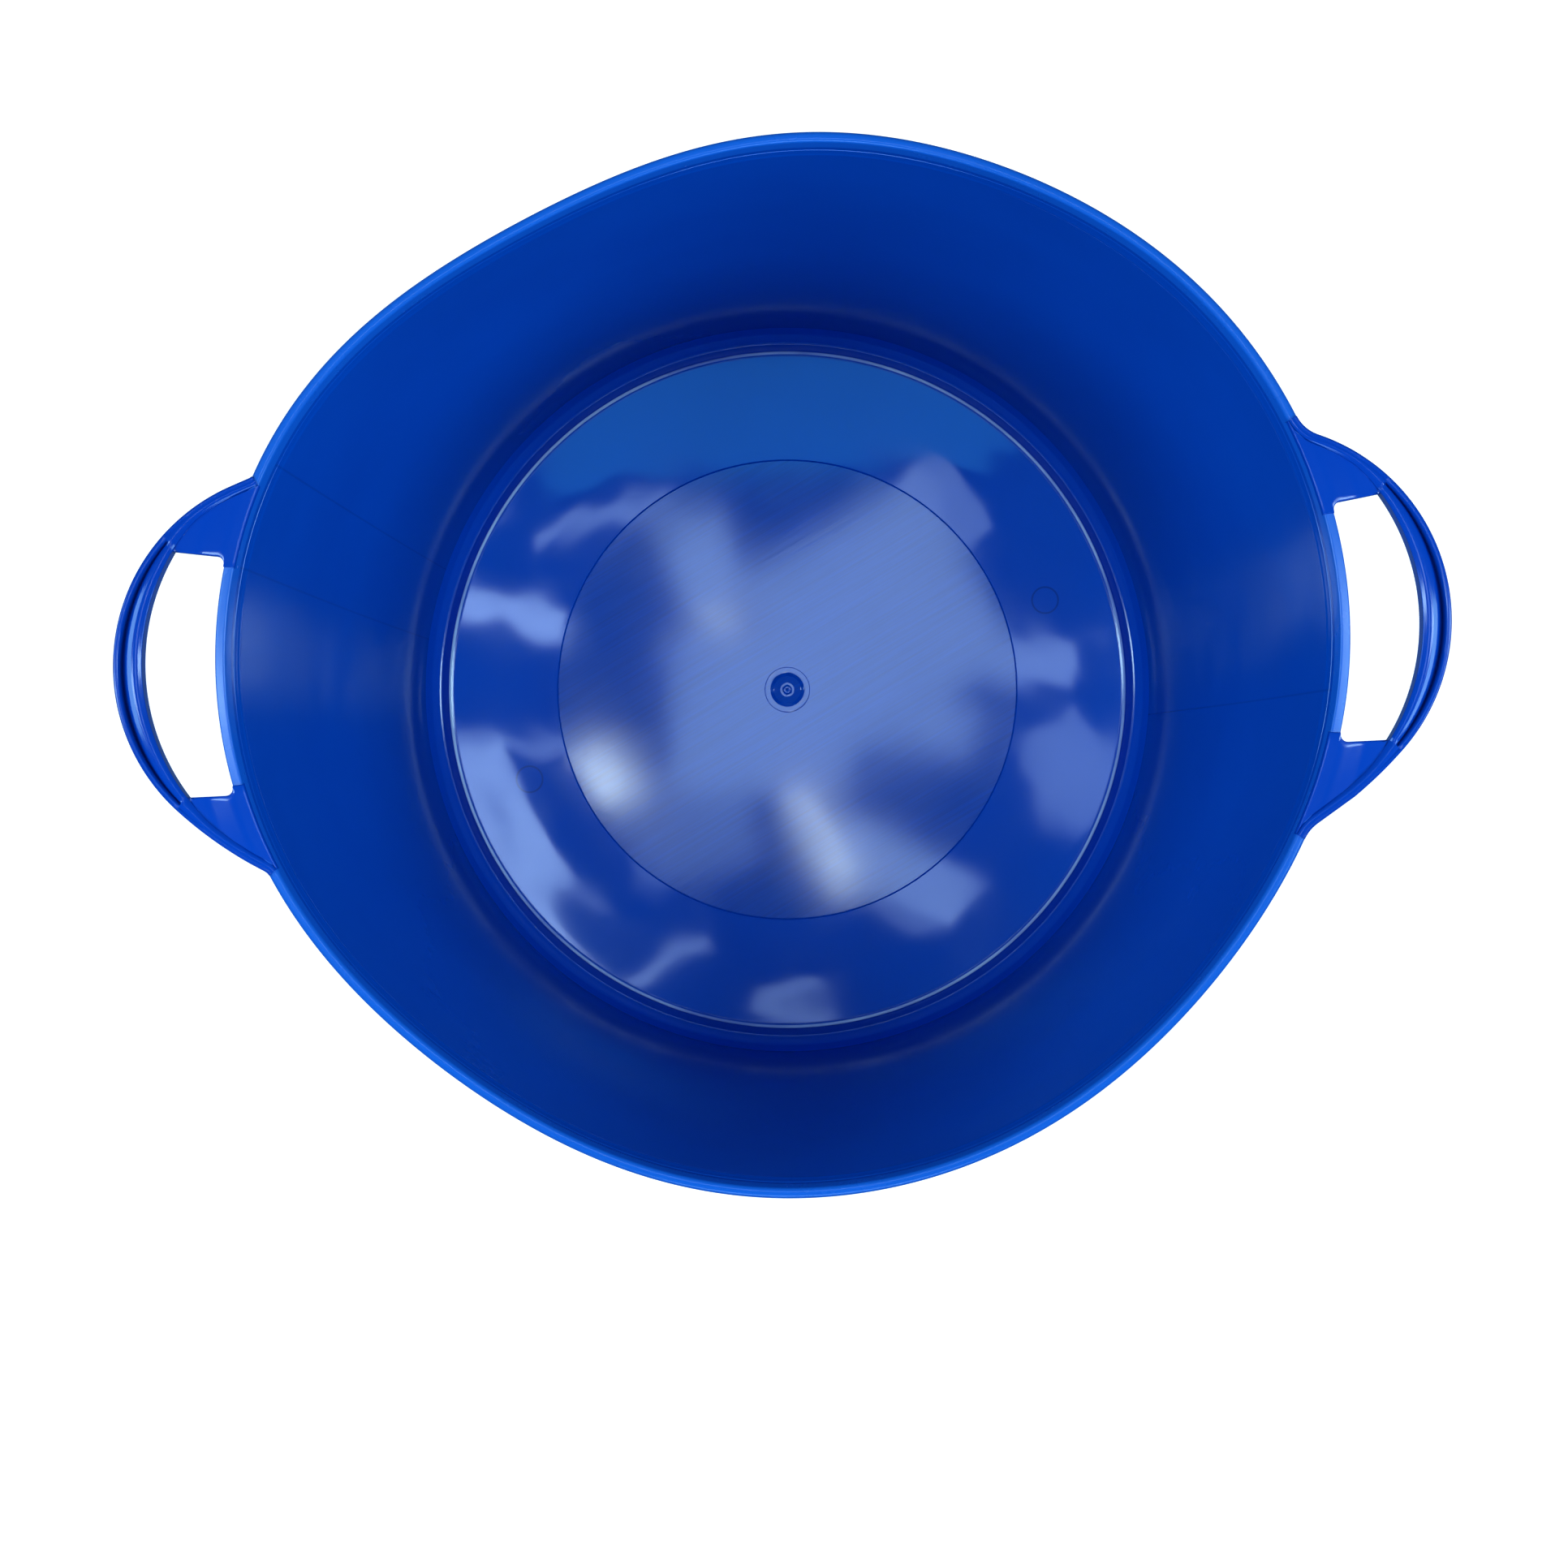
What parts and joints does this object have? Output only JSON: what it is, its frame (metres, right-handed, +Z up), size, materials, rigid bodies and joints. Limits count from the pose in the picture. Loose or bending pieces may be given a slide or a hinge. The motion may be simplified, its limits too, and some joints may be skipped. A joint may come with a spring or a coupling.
{
  "type": "mortar mixing tub",
  "caption": "Flexible moulded mixing tub with a tapered round wall, raised floor and a flexing grip handle on each side of the rim.",
  "frame": {"origin": "centre of the underside of the foot ring, on the ground", "axes": "+Z up out of the mouth, +X through the right handle, +Y across the handles"},
  "size_m": [0.5329, 0.4242, 0.33],
  "materials": {
    "wall_plastic": "semi-gloss flexible blue polyethylene, drawn surface",
    "floor_plastic": "glossy blue polyethylene with a fine-grained middle disc",
    "handle_plastic": "smooth blue polyethylene, slightly worn on the edges"
  },
  "bodies": {
    "tub": {"floor_disc": "floor_plastic", "gate_boss": "floor_plastic", "floor_ring": "floor_plastic", "heel_ring": "wall_plastic", "side_wall": "wall_plastic", "collar_band": "wall_plastic", "rim_bead": "handle_plastic", "left_front_web": "handle_plastic", "left_rear_web": "handle_plastic", "right_front_web": "handle_plastic", "right_rear_web": "handle_plastic"},
    "left_handle": {"left_grip": "handle_plastic", "left_grip_ridge": "handle_plastic"},
    "right_handle": {"right_grip": "handle_plastic", "right_grip_ridge": "handle_plastic"}
  },
  "joints": [
    {"name": "left_handle_flex", "type": "hinge", "parent": "tub", "child": "left_handle", "pos_m": [-0.2285, 0.0105, 0.3257], "axis": [0, 1, 0], "range_deg": [-12, 75], "stiffness_Nm_per_rad": 1.2, "deforming": ["left_front_web", "left_rear_web"]},
    {"name": "right_handle_flex", "type": "hinge", "parent": "tub", "child": "right_handle", "pos_m": [0.2265, 0.0105, 0.3257], "axis": [0, -1, 0], "range_deg": [-12, 75], "stiffness_Nm_per_rad": 1.2, "deforming": ["right_front_web", "right_rear_web"]}
  ]
}
